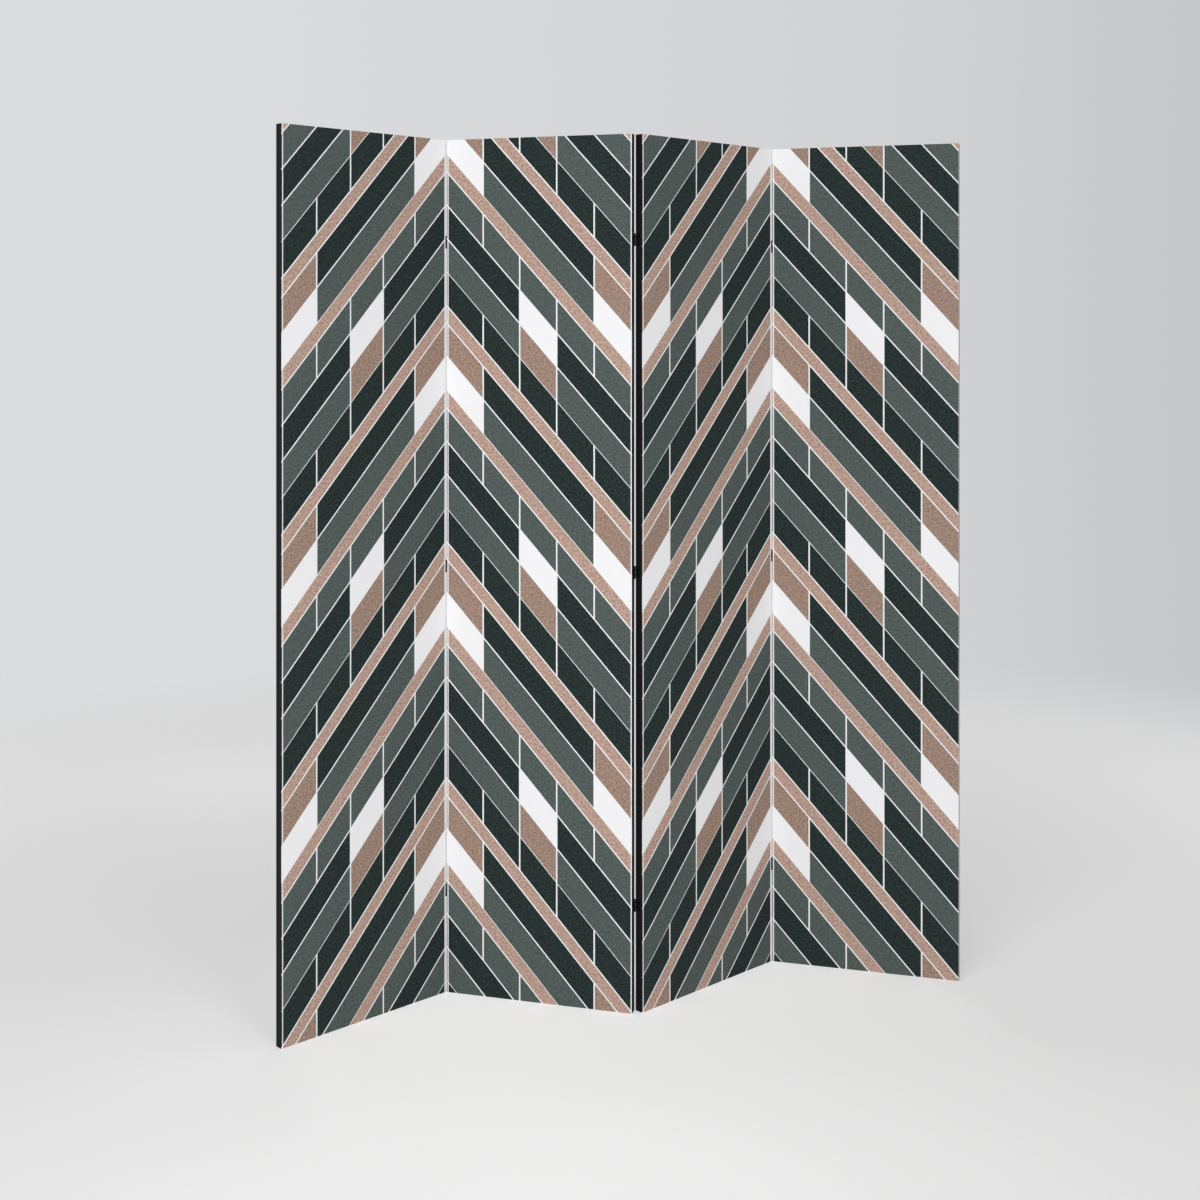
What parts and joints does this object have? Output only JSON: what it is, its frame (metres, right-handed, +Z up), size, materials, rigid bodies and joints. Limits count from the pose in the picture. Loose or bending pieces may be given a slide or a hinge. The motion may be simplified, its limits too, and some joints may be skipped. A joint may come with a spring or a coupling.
{
  "type": "folding screen",
  "caption": "Free-standing folding screen: flat printed-canvas panels on timber frames, joined by butt hinges so that it stands in a zigzag and folds flat.",
  "frame": {"origin": "On the floor, in the middle of the box round the standing screen", "axes": "+Z up; +X along the zigzag from the left panel to the right one, seen from the printed side; -Y is the side that the print faces"},
  "size_m": [1.4498, 0.219, 1.8],
  "materials": {
    "printed_canvas": "matte woven canvas, printed in dark green, slate, rose brown and white",
    "lining_cloth": "matte plain-woven charcoal cloth",
    "edging_strip": "matte black edging",
    "frame_timber": "planed pine, unfinished",
    "dowel_timber": "fluted beech, unfinished",
    "hinge_metal": "pressed steel, satin black paint",
    "screw_metal": "steel, black finish"
  },
  "bodies": {
    "panel_1": {"panel_1_left_stile": "frame_timber", "panel_1_right_stile": "frame_timber", "panel_1_top_rail": "frame_timber", "panel_1_bottom_rail": "frame_timber", "panel_1_upper_batten": "frame_timber", "panel_1_lower_batten": "frame_timber", "panel_1_dowels": "dowel_timber", "panel_1_printed_canvas": "printed_canvas", "panel_1_back_lining": "lining_cloth", "panel_1_edge_band": "edging_strip", "hinge_1_left_leaves": "hinge_metal", "hinge_1_pins": "hinge_metal", "hinge_1_left_screws": "screw_metal"},
    "panel_2": {"panel_2_left_stile": "frame_timber", "panel_2_right_stile": "frame_timber", "panel_2_top_rail": "frame_timber", "panel_2_bottom_rail": "frame_timber", "panel_2_upper_batten": "frame_timber", "panel_2_lower_batten": "frame_timber", "panel_2_dowels": "dowel_timber", "panel_2_printed_canvas": "printed_canvas", "panel_2_back_lining": "lining_cloth", "panel_2_edge_band": "edging_strip", "hinge_1_right_leaves": "hinge_metal", "hinge_1_right_screws": "screw_metal", "hinge_2_left_leaves": "hinge_metal", "hinge_2_pins": "hinge_metal", "hinge_2_left_screws": "screw_metal"},
    "panel_3": {"panel_3_left_stile": "frame_timber", "panel_3_right_stile": "frame_timber", "panel_3_top_rail": "frame_timber", "panel_3_bottom_rail": "frame_timber", "panel_3_upper_batten": "frame_timber", "panel_3_lower_batten": "frame_timber", "panel_3_dowels": "dowel_timber", "panel_3_printed_canvas": "printed_canvas", "panel_3_back_lining": "lining_cloth", "panel_3_edge_band": "edging_strip", "hinge_2_right_leaves": "hinge_metal", "hinge_2_right_screws": "screw_metal", "hinge_3_left_leaves": "hinge_metal", "hinge_3_pins": "hinge_metal", "hinge_3_left_screws": "screw_metal"},
    "panel_4": {"panel_4_left_stile": "frame_timber", "panel_4_right_stile": "frame_timber", "panel_4_top_rail": "frame_timber", "panel_4_bottom_rail": "frame_timber", "panel_4_upper_batten": "frame_timber", "panel_4_lower_batten": "frame_timber", "panel_4_dowels": "dowel_timber", "panel_4_printed_canvas": "printed_canvas", "panel_4_back_lining": "lining_cloth", "panel_4_edge_band": "edging_strip", "hinge_3_right_leaves": "hinge_metal", "hinge_3_right_screws": "screw_metal"}
  },
  "joints": [
    {"name": "fold_left", "type": "hinge", "parent": "panel_2", "child": "panel_1", "pos_m": [-0.36317, 0.09329, 0], "axis": [0, 0, 1], "range_deg": [-60, 120]},
    {"name": "fold_middle", "type": "hinge", "parent": "panel_2", "child": "panel_3", "pos_m": [0, -0.09329, 0], "axis": [0, 0, 1], "range_deg": [-60, 120]},
    {"name": "fold_right", "type": "hinge", "parent": "panel_3", "child": "panel_4", "pos_m": [0.36317, 0.09329, 0], "axis": [0, 0, -1], "range_deg": [-60, 120]}
  ]
}
